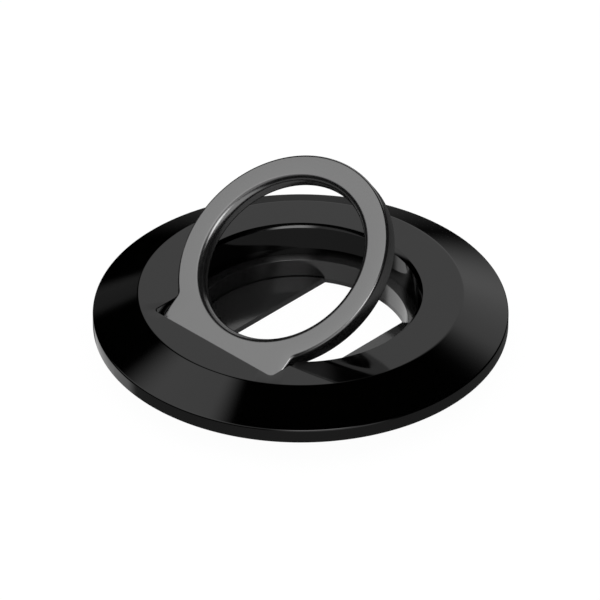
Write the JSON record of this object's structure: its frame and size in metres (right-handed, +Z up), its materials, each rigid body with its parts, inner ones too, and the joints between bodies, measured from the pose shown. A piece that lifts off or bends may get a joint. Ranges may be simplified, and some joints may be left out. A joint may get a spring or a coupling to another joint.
{
  "type": "phone ring holder",
  "caption": "Low round disc with a finger ring that folds into its pocket on a friction hinge, and a twist-lock hub beneath that joins it to a phone case.",
  "frame": {"origin": "on the disc's axis, in the plane of the hub's foot", "axes": "+Z up along the disc's axis, out of the face that the ring folds into; the hinge runs along X on the -Y side"},
  "size_m": [0.056, 0.056, 0.0243],
  "materials": {
    "disc_black": "gloss",
    "ring_black": "satin",
    "hub_black": "gloss",
    "axle_steel": "satin",
    "keeper_metal": "satin",
    "screw_steel": "satin",
    "washer_plastic": "matte",
    "pad_rubber": "matte"
  },
  "bodies": {
    "base": {"housing": "disc_black", "hinge_axle": "axle_steel", "friction_washer_left": "washer_plastic", "friction_washer_right": "washer_plastic", "axle_keeper_left": "keeper_metal", "axle_keeper_right": "keeper_metal", "lock_hub": "hub_black", "hub_screws": "screw_steel", "grip_pad": "pad_rubber"},
    "ring": {"finger_ring": "ring_black"}
  },
  "joints": [
    {"name": "ring_fold", "type": "hinge", "parent": "base", "child": "ring", "pos_m": [0, -0.01376, 0.00614], "axis": [1, 0, 0], "range_deg": [-35.5, 60]}
  ]
}
